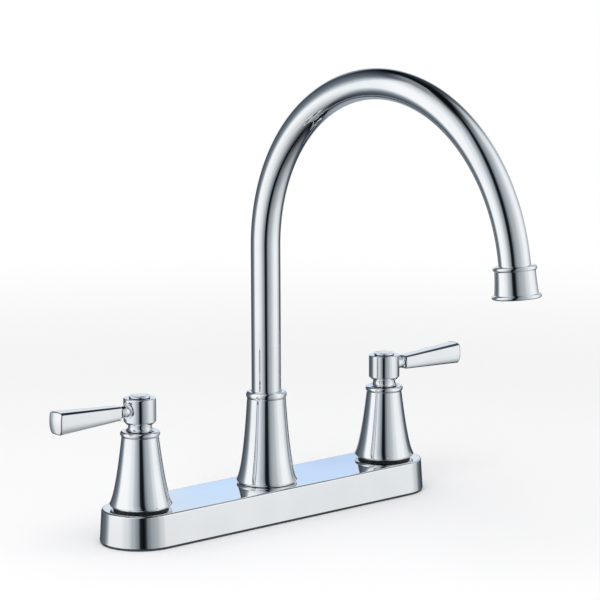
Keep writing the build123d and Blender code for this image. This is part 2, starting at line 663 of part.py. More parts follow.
def spout_tip():
    """Flared chrome end with a bead at each end, over the tube and round the aerator."""
    bead_bottom = TIP_TOP - TIP_BEAD_HEIGHT
    lip_top = tip_bottom + TIP_LIP_HEIGHT
    flared = TIP_SLEEVE_RADIUS + TIP_SLEEVE_FLARE
    sleeve_middle = TIP_SLEEVE_RADIUS + TIP_SLEEVE_CURVE * TIP_SLEEVE_FLARE
    shoulder = (TIP_SHOULDER_RADIUS, TIP_TOP)
    bead_middle = (TIP_BEAD_RADIUS, TIP_TOP - TIP_BEAD_WIDEST * TIP_BEAD_HEIGHT)
    sleeve_top = (TIP_SLEEVE_RADIUS, bead_bottom)
    sleeve_bottom = (flared, lip_top)
    tip = turned(
        Line((0, TIP_TOP), shoulder),
        ThreePointArc(shoulder, bead_middle, sleeve_top),
        ThreePointArc(sleeve_top, (sleeve_middle, (bead_bottom + lip_top) / 2), sleeve_bottom),
        ThreePointArc(sleeve_bottom, (TIP_LIP_RADIUS, (lip_top + tip_bottom) / 2), (flared, tip_bottom)),
        Polyline((flared, tip_bottom), (0, tip_bottom), (0, TIP_TOP)),
    )
    tip -= disc(TUBE_RADIUS + THREAD_GAP, -TUBE_TAIL, TIP_TOP)
    tip -= disc(tube_bore_radius, washer_seat, -TUBE_TAIL)
    return tip - disc(AERATOR_RADIUS + THREAD_GAP, tip_bottom, washer_seat)


def aerator_washer():
    """Rubber washer between the tip's ledge and the aerator."""
    return ring(AERATOR_RADIUS - AERATOR_WASHER_WALL, AERATOR_RADIUS, aerator_top, washer_seat)


def aerator_housing():
    """Screwed ring that holds the insert and the screen on its lower lip."""
    housing = disc(AERATOR_RADIUS, aerator_bottom, aerator_top)
    housing -= disc(aerator_bore_radius, aerator_floor, aerator_top)
    return housing - disc(aerator_bore_radius - AERATOR_LIP_STEP, aerator_bottom, aerator_floor)


def aerator_screen():
    """Thin screen with square meshes, on the housing's lip."""
    screen = disc(insert_radius, aerator_floor, aerator_floor + SCREEN_THICKNESS)
    mesh = Rectangle(SCREEN_PITCH - SCREEN_BAR, SCREEN_PITCH - SCREEN_BAR)
    across = int(2 * insert_radius / SCREEN_PITCH)
    half = (SCREEN_PITCH - SCREEN_BAR) / 2
    for place in GridLocations(SCREEN_PITCH, SCREEN_PITCH, across, across):
        corner = sqrt((abs(place.position.X) + half) ** 2 + (abs(place.position.Y) + half) ** 2)
        if corner < insert_radius - SCREEN_RIM:
            screen -= Pos(0, 0, aerator_floor) * extrude(place * mesh, SCREEN_THICKNESS)
    return screen


def aerator_insert():
    """Plastic flow straightener with a ring of holes, on the screen."""
    bottom = aerator_floor + SCREEN_THICKNESS
    insert = disc(insert_radius, bottom, bottom + INSERT_HEIGHT)
    hole = Cylinder(INSERT_HOLE_RADIUS, INSERT_HEIGHT, align=STANDING)
    for place in PolarLocations(INSERT_HOLE_CIRCLE, INSERT_HOLES):
        insert -= Pos(0, 0, bottom) * place * hole
    return insert


# ---- assembly ---------------------------------------------------------------------------
def at_handle(side, piece):
    """Move a piece, or each of a group, to the cold (+1) or the hot (-1) handle's axis."""
    place = Pos(side * HANDLE_SPACING / 2, 0, 0) * Rot(0, 0, 0 if side > 0 else 180)
    if isinstance(piece, list):
        return [place * each for each in piece]
    return place * piece


def handle_nodes(side, name):
    """Every piece that a handle's side has, by node name."""
    pieces = {
        "valve_body": valve_body(),
        "mounting_washer": mounting_washer(),
        "lock_nut": wing_nut(),
        "seat_seal": seat_seal(),
        "fixed_disc": fixed_disc(),
        "moving_disc": moving_disc(),
        "cartridge_body": cartridge_body(),
        "stem": stem(),
        "stem_o_rings": stem_o_rings(),
        "bell_seal": bell_seal(),
        "bell": handle_bell(),
        "hub": handle_hub(),
        "lever": lever(),
        "handle_screw": handle_screw(),
        "index_cap": index_cap(),
    }
    nodes = {f"{name}_{key}": at_handle(side, piece) for key, piece in pieces.items()}
    nodes[f"{name}_crossover_tube"] = Rot(0, 0, 0 if side > 0 else 180) * crossover_tube()
    return nodes


def all_nodes():
    """The whole faucet, one entry for each node."""
    nodes = {
        "deck_plate": deck_plate(),
        "base_gasket": base_gasket(),
        "spout_post": spout_post(),
        "body_nuts": body_nuts(),
        "spout_bell": spout_bell(),
        "glide_ring": glide_ring(),
        "spout_tube": spout_tube(),
        "spout_bushing": spout_bushing(),
        "spout_o_rings": spout_o_rings(),
        "spout_tip": at_tip(spout_tip()),
        "aerator_washer": at_tip(aerator_washer()),
        "aerator_housing": at_tip(aerator_housing()),
        "aerator_screen": at_tip(aerator_screen()),
        "aerator_insert": at_tip(aerator_insert()),
    }
    for side, name in ((-1, "hot"), (1, "cold")):
        nodes.update(handle_nodes(side, name))
    return nodes


os.makedirs("parts", exist_ok=True)
for node, piece in all_nodes().items():
    solids = piece if isinstance(piece, list) else [piece]
    export_step(Compound(children=solids) if len(solids) > 1 else solids[0], f"parts/{node}.step")
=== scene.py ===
import json
from math import atan2, ceil, cos, degrees, hypot, pi, radians, sin, sqrt

import bmesh
import bpy
from mathutils import Matrix, Vector


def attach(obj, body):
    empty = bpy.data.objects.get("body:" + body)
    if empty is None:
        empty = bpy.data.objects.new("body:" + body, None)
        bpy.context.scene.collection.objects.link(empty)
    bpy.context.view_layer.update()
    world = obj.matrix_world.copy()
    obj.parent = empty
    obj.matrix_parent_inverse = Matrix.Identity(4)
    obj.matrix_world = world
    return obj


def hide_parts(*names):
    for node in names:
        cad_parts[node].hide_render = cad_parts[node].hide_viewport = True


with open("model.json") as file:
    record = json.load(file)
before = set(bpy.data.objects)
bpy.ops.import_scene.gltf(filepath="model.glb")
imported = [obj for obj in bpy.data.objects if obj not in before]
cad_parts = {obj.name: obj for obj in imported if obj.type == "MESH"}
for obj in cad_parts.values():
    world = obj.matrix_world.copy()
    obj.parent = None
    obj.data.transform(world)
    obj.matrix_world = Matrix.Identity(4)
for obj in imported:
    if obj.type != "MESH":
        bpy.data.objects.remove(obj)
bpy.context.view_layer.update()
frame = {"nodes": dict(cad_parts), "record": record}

# Looks of the two handle kitchen faucet. Sizes are in millimetres, as in the part's source, and
# a mesh is brought to metres when it is made. Heights are above the deck, and round sizes are
# radii. The hot side is at -X, and the spout points to -Y.

scene = bpy.context.scene
MM = 0.001
ON_AXIS = 1e-6  # a smaller radius is a point on the axis

# ---- sizes of the chrome that shows ----
HANDLE_SPACING = 203.2
HALF_SPACING = HANDLE_SPACING / 2
GASKET_TOP = 1.3
PLATE_TOP = 21.3
PLATE_HALF_WIDTH = 25.5
PLATE_LEAN = 0.0594  # inward for each millimetre up, a draft of 3.4 degrees
PLATE_WALL = 2.2
PLATE_ROOF = PLATE_TOP - 3.0  # underside of the top wall
NECK_HOLE = 10.8
SHANK_HOLE = 13.5

HANDLE_BELL_FOOT = PLATE_TOP + 1.1  # the seal ring lies between
HANDLE_BELL_TOP = HANDLE_BELL_FOOT + 47.1
SPOUT_BELL_TOP = PLATE_TOP + 58.8
BELL_FOOT_RADIUS = 17.3
LIP_RADIUS = 19.3
LIP_HEIGHT = 1.9
CAVITY_RADIUS = 15.6
CAVITY_TOP = 27.6
COLLAR_BORE = NECK_HOLE - 0.1

HUB_FOOT = HANDLE_BELL_TOP + 0.3
HUB_TOP = HUB_FOOT + 20.1
HUB_RADIUS = 10.0
HUB_NECK_RADIUS = 7.3
HUB_BORE = 4.05
SCREW_WELL = 3.9
SCREW_SEAT = HUB_TOP - 4.1

# distances along the lever are from the handle's axis, and pairs are for the bar's start and end
LEVER_HEIGHT = HUB_TOP - 7.2
LEVER_SEAT = 8.2
LEVER_START = 17.0
LEVER_END = 64.7
LEVER_WIDTH = (8.0, 12.2)
LEVER_DEPTH = (8.8, 13.9)
LEVER_RISE = (0.0, 0.5)
BEVEL_ACROSS = (1.4, 2.2)
BEVEL_DOWN = (0.84, 1.16)
ROUND_ACROSS = (1.6, 2.8)
ROUND_DOWN = (3.0, 6.0)

TUBE_RADIUS = 9.3
TUBE_BORE = 8.2
TUBE_BOTTOM = 55.2
SPOUT_RISE = 172.6
BEND_RADIUS = 108.8
BEND = radians(174)
TUBE_TAIL = 5.0

SHANK_TOP = -6.0
SHANK_BOTTOM = -50.0


# ---- colours and nodes ----
def colour(text):
    """Scene-linear colour of an sRGB hex value."""
    parts = [int(text[k:k + 2], 16) / 255 for k in (1, 3, 5)]
    return tuple(p / 12.92 if p <= 0.04045 else ((p + 0.055) / 1.055) ** 2.4 for p in parts) + (1.0,)


def feed(tree, node, feeds):
    """Feeds a node's sockets, each with a value, another socket, or a list of other sockets."""
    for key, value in feeds.items():
        socket = node.inputs[key]
        if isinstance(value, bpy.types.NodeSocket):
            value = [value]
        if isinstance(value, list):
            for source in value:
                tree.links.new(source, socket)
        else:
            socket.default_value = value


def add(tree, kind, feeds=None, **settings):
    """Adds a node, makes its settings and feeds its sockets."""
    made = tree.nodes.new(kind)
    for key, value in settings.items():
        setattr(made, key, value)
    feed(tree, made, feeds or {})
    return made


def per_mm(size):
    """Scale of a pattern on Object coordinates whose features are this many millimetres wide."""
    return 1 / (size * MM)


def new_finish(name):
    """An empty material, with its tree, its main shader and its Object coordinates."""
    finish = bpy.data.materials.new(name)
    finish.use_nodes = True
    tree = finish.node_tree
    shader = tree.nodes["Principled BSDF"]
    place = add(tree, "ShaderNodeTexCoord").outputs["Object"]
    return finish, tree, shader, place


def mottle(tree, place, size, low, high):
    """Soft cloudy change between two values, over patches of a size in millimetres."""
    cloud = add(tree, "ShaderNodeTexNoise", {"Vector": place, "Scale": per_mm(size), "Detail": 3.0})
    return add(tree, "ShaderNodeMapRange", {"Value": cloud.outputs["Fac"], "From Min": 0.3,
                                            "From Max": 0.7, "To Min": low, "To Max": high}).outputs["Result"]


def tinted(tree, place, size, first, second):
    """Two near colours in soft patches of a size in millimetres."""
    amount = mottle(tree, place, size, 0.0, 1.0)
    return add(tree, "ShaderNodeMix", {"Factor": amount, "A": colour(first), "B": colour(second)},
               data_type="RGBA").outputs["Result"]


def raised(tree, height, depth, strength=1.0):
    """Bump whose full height is a depth in millimetres."""
    return add(tree, "ShaderNodeBump", {"Height": height, "Distance": depth * MM,
                                        "Strength": strength}).outputs["Normal"]


# ---- finishes ----
def polished_chrome():
    """Chrome plate over buffed brass: a cold mirror, with the faint waves that a buffing wheel
    leaves under it and a gloss that changes a little from place to place."""
    finish, tree, shader, place = new_finish("polished_chrome")
    waves = add(tree, "ShaderNodeTexNoise", {"Vector": place, "Scale": per_mm(16), "Detail": 1.0})
    feed(tree, shader, {
        "Metallic": 1.0,
        "Base Color": tinted(tree, place, 30, "#F3F4F5", "#EDEEF0"),
        "Roughness": mottle(tree, place, 7, 0.02, 0.05),
        "Normal": raised(tree, waves.outputs["Fac"], 0.02),
    })
    return finish


def turned_brass():
    """Bare turned brass: warm yellow, with fine rings from the lathe tool (0.4 mm feed, drawn as
    coarse as it needs to show) and dull patches where it has been handled."""
    finish, tree, shader, place = new_finish("turned_brass")
    rings = add(tree, "ShaderNodeTexWave", {"Vector": place, "Scale": per_mm(8), "Distortion": 0.4},
                bands_direction="Z")
    feed(tree, shader, {
        "Metallic": 1.0,
        "Base Color": tinted(tree, place, 12, "#D9B26A", "#C39A52"),
        "Roughness": mottle(tree, place, 5, 0.22, 0.38),
        "Normal": raised(tree, rings.outputs["Fac"], 0.02, 0.6),
    })
    return finish


def drawn_copper():
    """Drawn copper tube: salmon red going brown in places, with soft lengthwise streaks."""
    finish, tree, shader, place = new_finish("drawn_copper")
    long_way = add(tree, "ShaderNodeMapping", {"Vector": place, "Scale": (0.05, 1.0, 1.0)})
    streaks = mottle(tree, long_way.outputs["Vector"], 0.8, 0.0, 1.0)
    feed(tree, shader, {
        "Metallic": 1.0,
        "Base Color": tinted(tree, place, 9, "#C77B58", "#A25C40"),
        "Roughness": mottle(tree, place, 4, 0.25, 0.42),
        "Normal": raised(tree, streaks, 0.01),
    })
    return finish


def stainless_steel():
    """Plain stainless steel of screws, washers and screen: grey, half bright, finely grained."""
    finish, tree, shader, place = new_finish("stainless_steel")
    grain = mottle(tree, place, 0.5, 0.0, 1.0)
    feed(tree, shader, {
        "Metallic": 1.0,
        "Base Color": tinted(tree, place, 6, "#C9CBCC", "#B4B7B9"),
        "Roughness": mottle(tree, place, 2, 0.2, 0.36),
        "Normal": raised(tree, grain, 0.006),
    })
    return finish


def black_rubber():
    """Moulded nitrile rubber of the seals: near black, a soft sheen and a very fine skin."""
    finish, tree, shader, place = new_finish("black_rubber")
    skin = mottle(tree, place, 0.4, 0.0, 1.0)
    feed(tree, shader, {
        "Base Color": tinted(tree, place, 5, "#17181A", "#222427"),
        "Roughness": mottle(tree, place, 1.5, 0.42, 0.6),
        "Normal": raised(tree, skin, 0.01),
    })
    return finish


def foam_gasket():
    """Closed-cell foam gasket: dark grey, matt, with small pores at its cut edge."""
    finish, tree, shader, place = new_finish("foam_gasket")
    pores = add(tree, "ShaderNodeTexVoronoi", {"Vector": place, "Scale": per_mm(0.7)})
    feed(tree, shader, {
        "Base Color": tinted(tree, place, 3, "#4B4D50", "#3A3C3F"),
        "Roughness": 0.85,
        "Normal": raised(tree, pores.outputs["Distance"], 0.08),
    })
    return finish


def moulded_plastic(name, first, second, roughness):
    """Injection moulded acetal: even colour, satin, with the very fine texture of the mould."""
    finish, tree, shader, place = new_finish(name)
    spark = mottle(tree, place, 0.35, 0.0, 1.0)
    feed(tree, shader, {
        "Base Color": tinted(tree, place, 8, first, second),
        "Roughness": mottle(tree, place, 3, roughness - 0.06, roughness + 0.06),
        "Normal": raised(tree, spark, 0.012),
    })
    return finish


def lapped_alumina():
    """Lapped alumina ceramic: warm white with a glazed-looking face and faint specks."""
    finish, tree, shader, place = new_finish("lapped_alumina")
    feed(tree, shader, {
        "Base Color": tinted(tree, place, 1.2, "#F0EDE4", "#E6E2D6"),
        "Roughness": mottle(tree, place, 2, 0.1, 0.2),
    })
    return finish


CHROME = polished_chrome()
BRASS = turned_brass()
COPPER = drawn_copper()
STEEL = stainless_steel()
RUBBER = black_rubber()
FOAM = foam_gasket()
GREY_PLASTIC = moulded_plastic("grey_acetal", "#414346", "#4A4C50", 0.4)
WHITE_PLASTIC = moulded_plastic("white_acetal", "#EFEFEA", "#E6E6E0", 0.35)
CERAMIC = lapped_alumina()

SLOTS = {CHROME: "chrome", BRASS: "brass", COPPER: "copper", STEEL: "steel", RUBBER: "black_rubber",
         FOAM: "gasket", GREY_PLASTIC: "grey_plastic", WHITE_PLASTIC: "white_plastic", CERAMIC: "ceramic"}


# ---- outlines: (radius, height) points of turned pieces ----
def quarter_turn(steps):
    """Angles over a quarter of a turn, both of its ends among them."""
    return [pi / 2 * k / steps for k in range(steps + 1)]


def arc(start, middle, end, steps=12):
    """Points on the arc from start to end through a middle point, its start left out."""
    (ax, ay), (bx, by), (cx, cy) = start, middle, end
    twice = 2 * (ax * (by - cy) + bx * (cy - ay) + cx * (ay - by))
    a2, b2, c2 = ax * ax + ay * ay, bx * bx + by * by, cx * cx + cy * cy
    ux = (a2 * (by - cy) + b2 * (cy - ay) + c2 * (ay - by)) / twice
    uy = (a2 * (cx - bx) + b2 * (ax - cx) + c2 * (bx - ax)) / twice
    first, through, last = (atan2(y - uy, x - ux) for x, y in (start, middle, end))
    turn = (last - first) % (2 * pi)
    if (through - first) % (2 * pi) > turn:
        turn -= 2 * pi
    radius = hypot(ax - ux, ay - uy)
    angles = [first + turn * k / steps for k in range(1, steps + 1)]
    return [(ux + radius * cos(t), uy + radius * sin(t)) for t in angles]


def flare(start, pull, end, steps):
    """Points on the smooth flare from start to end that leans towards a pull point."""
    points = []
    for k in range(1, steps + 1):
        t = k / steps
        weights = ((1 - t) ** 2, 2 * t * (1 - t), t * t)
        points.append(tuple(sum(w * p[axis] for w, p in zip(weights, (start, pull, end))) for axis in (0, 1)))
    return points


def eased(outline, radius):
    """The closed outline with a small round in place of each of its sharp corners. A point on the
    axis or on a gentle curve stays."""
    gentle, most_of_side, steps = radians(25), 0.4, 4
    result = []
    for k, corner in enumerate(outline):
        before, after = Vector(outline[k - 1]), Vector(outline[(k + 1) % len(outline)])
        here = Vector(corner)
        back, on = before - here, after - here
        if pi - back.angle(on) < gentle or here.x < ON_AXIS:
            result.append(corner)
            continue
        reach = min(radius, most_of_side * back.length, most_of_side * on.length)
        start, end = here + back.normalized() * reach, here + on.normalized() * reach
        result.append(tuple(start))
        result += flare(tuple(start), corner, tuple(end), steps)
    return result


def ring_outline(inner, outer, bottom, top):
    """Square outline of a plain ring."""
    return [(inner, bottom), (outer, bottom), (outer, top), (inner, top)]


# ---- meshes ----
def put(name, data):
    """A new object in the scene that holds a mesh, a camera or a lamp."""
    made = bpy.data.objects.new(name, data)
    scene.collection.objects.link(made)
    return made


def to_mesh(corners, edges, faces):
    """A mesh in metres from corners in millimetres."""
    mesh = bpy.data.meshes.new("shape")
    mesh.from_pydata([tuple(c * MM for c in corner) for corner in corners], edges, faces)
    return mesh


def form_of(*meshes):
    """A form to work on, with a copy of each of these meshes."""
    form = bmesh.new()
    for mesh in meshes:
        form.from_mesh(mesh)
    return form


def shape_of(form):
    """The mesh of a finished form, which is then let go."""
    mesh = bpy.data.meshes.new("shape")
    form.to_mesh(mesh)
    form.free()
    return mesh


def turned(outline, steps=160):
    """Mesh turned about the Z axis from a closed outline, its faces outward."""
    area = sum(a[0] * b[1] - b[0] * a[1] for a, b in zip(outline, outline[1:] + outline[:1]))
    if area < 0:
        outline = outline[::-1]
    corners, rings = [], []
    for radius, height in outline:
        if radius < ON_AXIS:
            rings.append([len(corners)] * steps)
            corners.append((0, 0, height))
            continue
        rings.append(list(range(len(corners), len(corners) + steps)))
        for k in range(steps):
            angle = 2 * pi * k / steps
            corners.append((radius * cos(angle), radius * sin(angle), height))
    faces = []
    for low, high in zip(rings, rings[1:] + rings[:1]):
        for k in range(steps):
            j = (k + 1) % steps
            face = list(dict.fromkeys((low[k], low[j], high[j], high[k])))
            if len(face) > 2:
                faces.append(face)
    return to_mesh(corners, [], faces)


def lofted(rings):
    """Closed mesh through rings of equally many corners, its first and last ring filled."""
    count = len(rings[0])
    corners = [corner for ring in rings for corner in ring]
    faces = [list(range(count))[::-1], [len(corners) - count + k for k in range(count)]]
    for n in range(len(rings) - 1):
        for k in range(count):
            j = (k + 1) % count
            faces.append((n * count + k, n * count + j, (n + 1) * count + j, (n + 1) * count + k))
    return to_mesh(corners, [], faces)


def slot_ring(half_width, height):
    """Corners round a long plate with round ends."""
    ring, steps = [], 48
    for end, first in ((1, -pi / 2), (-1, pi / 2)):
        for k in range(steps + 1):
            angle = first + pi * k / steps
            ring.append((end * HALF_SPACING + half_width * cos(angle), half_width * sin(angle), height))
    return ring


def hole_ring(place, radius, height):
    """Corners round a hole through the plate."""
    steps = 96
    angles = [2 * pi * k / steps for k in range(steps)]
    return [(place + radius * cos(t), radius * sin(t), height) for t in angles]


def slot_plate(levels, holes):
    """Mesh of a long plate. levels are (half width, height) from its top face's edge, over the
    side, to the lower face's edge, and holes are (place, radius) through both faces."""
    form = bmesh.new()

    def laid(ring):
        verts = [form.verts.new(Vector(corner) * MM) for corner in ring]
        return verts, [form.edges.new((a, b)) for a, b in zip(verts, verts[1:] + verts[:1])]

    def joined(one, other):
        for k in range(len(one)):
            form.faces.new((one[k], one[k - 1], other[k - 1], other[k]))

    side = [laid(slot_ring(*level)) for level in levels]
    for (one, _), (other, _) in zip(side, side[1:]):
        joined(one, other)
    top, bottom = levels[0][1], levels[-1][1]
    top_edges, bottom_edges = list(side[0][1]), list(side[-1][1])
    for place, radius in holes:
        high, low = laid(hole_ring(place, radius, top)), laid(hole_ring(place, radius, bottom))
        joined(low[0], high[0])
        top_edges += high[1]
        bottom_edges += low[1]
    for edges in (top_edges, bottom_edges):
        bmesh.ops.triangle_fill(form, edges=edges, use_beauty=True)
    bmesh.ops.recalc_face_normals(form, faces=form.faces)
    return shape_of(form)


def placed(mesh, matrix):
    """The mesh moved by a matrix whose shift is in millimetres."""
    move = matrix.copy()
    move.translation = move.translation * MM
    mesh.transform(move)
    return mesh


def at_handle(side, mesh):
    """The mesh moved from the Z axis to a handle's axis and turned as that handle is."""
    turn = Matrix.Rotation(0 if side > 0 else pi, 4, "Z")
    return placed(mesh, Matrix.Translation((side * HALF_SPACING, 0, 0)) @ turn)


def along_lever(mesh):
    """The mesh moved from the Z axis to the lever's middle line, with Z outward."""
    return placed(mesh, Matrix.Translation((0, 0, LEVER_HEIGHT)) @ Matrix.Rotation(pi / 2, 4, "Y"))


def applied(helper):
    """The plain mesh that a helper object shows with its modifiers. The helper goes."""
    bpy.context.view_layer.update()
    result = bpy.data.meshes.new_from_object(helper.evaluated_get(bpy.context.evaluated_depsgraph_get()))
    helper.modifiers.clear()
    bpy.data.objects.remove(helper)
    return result


def modified(mesh, modifier, **settings):
    """The plain mesh that a modifier makes of this one."""
    helper = put("helper", mesh)
    made = helper.modifiers.new("work", modifier)
    for key, value in settings.items():
        setattr(made, key, value)
    return applied(helper)


def cut(mesh, cutter):
    """The mesh less another one."""
    tool = put("cutter", cutter)
    result = modified(mesh, "BOOLEAN", object=tool, operation="DIFFERENCE", solver="EXACT")
    bpy.data.objects.remove(tool)
    return result


def piece(name, mesh, finish, body, *nodes, sharp=35):
    """A finished piece on its body, in place of CAD nodes, shaded by the size of its faces."""
    mesh.name = name
    made = put(name, mesh)
    mesh.materials.clear()
    mesh.materials.append(finish)
    mesh.shade_smooth()
    mesh.set_sharp_from_angle(angle=radians(sharp))
    shading = made.modifiers.new("shading", "WEIGHTED_NORMAL")
    shading.mode = "FACE_AREA"
    shading.keep_sharp = True
    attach(made, body)
    if nodes:
        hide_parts(*nodes)


# ---- deck plate and gasket ----
def deck_plate():
    """Hollow chrome plate with a softly rounded top edge and round ends."""
    def outer(height):
        return PLATE_HALF_WIDTH - PLATE_LEAN * (height - GASKET_TOP)

    across, down, foot, chamfer = 2.0, 1.2, 0.5, 0.2
    levels = [(outer(PLATE_TOP) - across * (1 - sin(t)), PLATE_TOP - down * (1 - cos(t)))
              for t in quarter_turn(10)]
    levels += [(outer(GASKET_TOP) - foot * (1 - cos(t)), GASKET_TOP + foot * (1 - sin(t)))
               for t in quarter_turn(4)]
    inside = PLATE_HALF_WIDTH - PLATE_WALL
    levels += [(inside + chamfer, GASKET_TOP), (inside, GASKET_TOP + chamfer),
               (inside - PLATE_LEAN * (PLATE_ROOF - GASKET_TOP), PLATE_ROOF)]
    holes = [(place, NECK_HOLE) for place in (-HALF_SPACING, 0, HALF_SPACING)]
    piece("plate_shell", slot_plate(levels, holes), CHROME, "base", "deck_plate")


def plate_gasket():
    """Foam pad under the plate, squeezed out a little round its edge."""
    edge, squeeze, soft, corner = PLATE_HALF_WIDTH - 0.6, 0.25, 0.05, 0.2
    levels = [(edge - squeeze, GASKET_TOP), (edge - soft, GASKET_TOP - corner), (edge, GASKET_TOP / 2),
              (edge - soft, corner), (edge - squeeze, 0.0)]
    holes = [(place, SHANK_HOLE) for place in (-HALF_SPACING, HALF_SPACING)]
    piece("plate_pad", slot_plate(levels, holes), FOAM, "base", "base_gasket")


# ---- bells ----
def bell_outline(foot, top, crease_radius, rim_radius, rim_height, pull, inside, collar_top):
    """Rounded lip, one flare up to the crease, and a rolled rim. The flare leans towards pull, whose
    height is above the foot, and inside is the inner wall from the rim down to the collar."""
    lip_middle, lip = (LIP_RADIUS - 0.4, foot + 0.85), (LIP_RADIUS, foot + LIP_HEIGHT)
    crease, rim_middle = (crease_radius, top - rim_height), (rim_radius, top - 0.4 * rim_height)
    outline = [(BELL_FOOT_RADIUS, foot)]
    outline += arc(outline[0], lip_middle, lip, steps=10)
    outline += flare(lip, (pull[0], foot + pull[1]), crease, steps=40)
    outline += arc(crease, rim_middle, (rim_radius - 1.1, top), steps=14)
    collar = [(COLLAR_BORE, collar_top), (COLLAR_BORE, CAVITY_TOP), (CAVITY_RADIUS, CAVITY_TOP),
              (CAVITY_RADIUS, foot)]
    return eased(outline + inside + collar, 0.18)


def handle_bell(side, name):
    """Flared chrome bell over the cartridge, with its screw collar inside."""
    mouth, roof, wall_top, wall_foot, collar_top = 7.6, HANDLE_BELL_TOP - 3.0, 9.56, 12.19, 39.9
    inside = [(mouth, HANDLE_BELL_TOP), (mouth, roof), (wall_top, roof), (wall_foot, collar_top)]
    outline = bell_outline(HANDLE_BELL_FOOT, HANDLE_BELL_TOP, crease_radius=11.36, rim_radius=12.2,
                           rim_height=3.4, pull=(15.65, 7.85), inside=inside, collar_top=collar_top)
    piece(f"{name}_tower", at_handle(side, turned(outline)), CHROME, "base", f"{name}_bell")


def spout_bell():
    """Taller chrome bell that holds the spout in its socket."""
    mouth, ledge, socket, collar_top = TUBE_RADIUS + 0.4, 57.6, 10.6, 52.0
    inside = [(mouth, SPOUT_BELL_TOP), (mouth, ledge), (socket, ledge), (socket, collar_top)]
    outline = bell_outline(PLATE_TOP, SPOUT_BELL_TOP, crease_radius=12.24, rim_radius=12.75,
                           rim_height=4.3, pull=(15.11, 9.4), inside=inside, collar_top=collar_top)
    piece("spout_tower", turned(outline), CHROME, "base", "spout_bell")


def bell_seal(side, name):
    """Black ring under a handle bell, bulging a little where the bell presses it."""
    low, high, inner, outer, bulge, corner = PLATE_TOP, HANDLE_BELL_FOOT, 15.3, 16.8, 0.2, 0.3
    outline = [(inner, low), (outer, low), (outer + bulge, low + corner), (outer + bulge, high - corner),
               (outer, high), (inner, high)]
    piece(f"{name}_seal_ring", at_handle(side, turned(outline, 96)), RUBBER, "base", f"{name}_bell_seal")


# ---- handles ----
def handle_hub(side, name):
    """Chrome hub: flared foot, narrow neck, and a flat-bottomed recess that the lever comes from."""
    flare_out, flare_up, hollow = 1.8, 2.6, 0.3
    neck_top, underside, chamfer, top_edge = HUB_FOOT + 3.9, 8.4, 1.8, 0.5
    foot = (HUB_NECK_RADIUS + flare_out, HUB_FOOT)
    foot_middle = (HUB_NECK_RADIUS + hollow * flare_out, HUB_FOOT + hollow * flare_up)
    outline = [foot] + arc(foot, foot_middle, (HUB_NECK_RADIUS, HUB_FOOT + flare_up), steps=10)
    outline += [(HUB_NECK_RADIUS, neck_top), (underside, neck_top), (HUB_RADIUS, neck_top + chamfer),
                (HUB_RADIUS, HUB_TOP - top_edge), (HUB_RADIUS - top_edge, HUB_TOP), (SCREW_WELL, HUB_TOP),
                (SCREW_WELL, SCREW_SEAT), (HUB_BORE, SCREW_SEAT), (HUB_BORE, HUB_FOOT)]
    recess = turned(ring_outline(0, 5.3, LEVER_SEAT, HUB_RADIUS + 2.0), 96)
    mesh = cut(turned(eased(outline, 0.3), 192), along_lever(recess))
    piece(f"{name}_hub_barrel", at_handle(side, mesh), CHROME, f"{name}_handle", f"{name}_hub")


def bar_ring(place, width, height, bevel, round_off, rise, inset):
    """Corners of the lever's section at a distance from the handle's axis: a crisp bevel along
    its upper edges, long soft rounds below, and a little crown on top."""
    half_w, half_h = width / 2 - inset, height / 2 - inset
    crown, least, steps, flat = 0.018 * width, 0.05, 8, 8
    turns = []
    for quarter, (sy, sz, (across, down)) in enumerate(((1, 1, bevel), (-1, 1, bevel),
                                                        (-1, -1, round_off), (1, -1, round_off))):
        across, down = max(across - inset, least), max(down - inset, least)
        top = half_h - (crown if sz > 0 else 0)
        angles = [pi / 2 * (quarter + k / steps) for k in range(steps + 1)]
        turn = [Vector((place, sy * (half_w - across) + across * cos(t),
                        LEVER_HEIGHT + rise + sz * (top - down) + down * sin(t))) for t in angles]
        if sz > 0:
            turn = [turn[0].lerp(turn[-1], k / steps) for k in range(steps + 1)]
        turns.append(turn)
    ring = []
    for turn, following in zip(turns, turns[1:] + turns[:1]):
        ring += turn
        for k in range(1, flat):
            share = k / flat
            point = turn[-1].lerp(following[0], share)
            if turn is turns[0]:
                point.z += crown * 4 * share * (1 - share)
            ring.append(point)
    return [tuple(point) for point in ring]


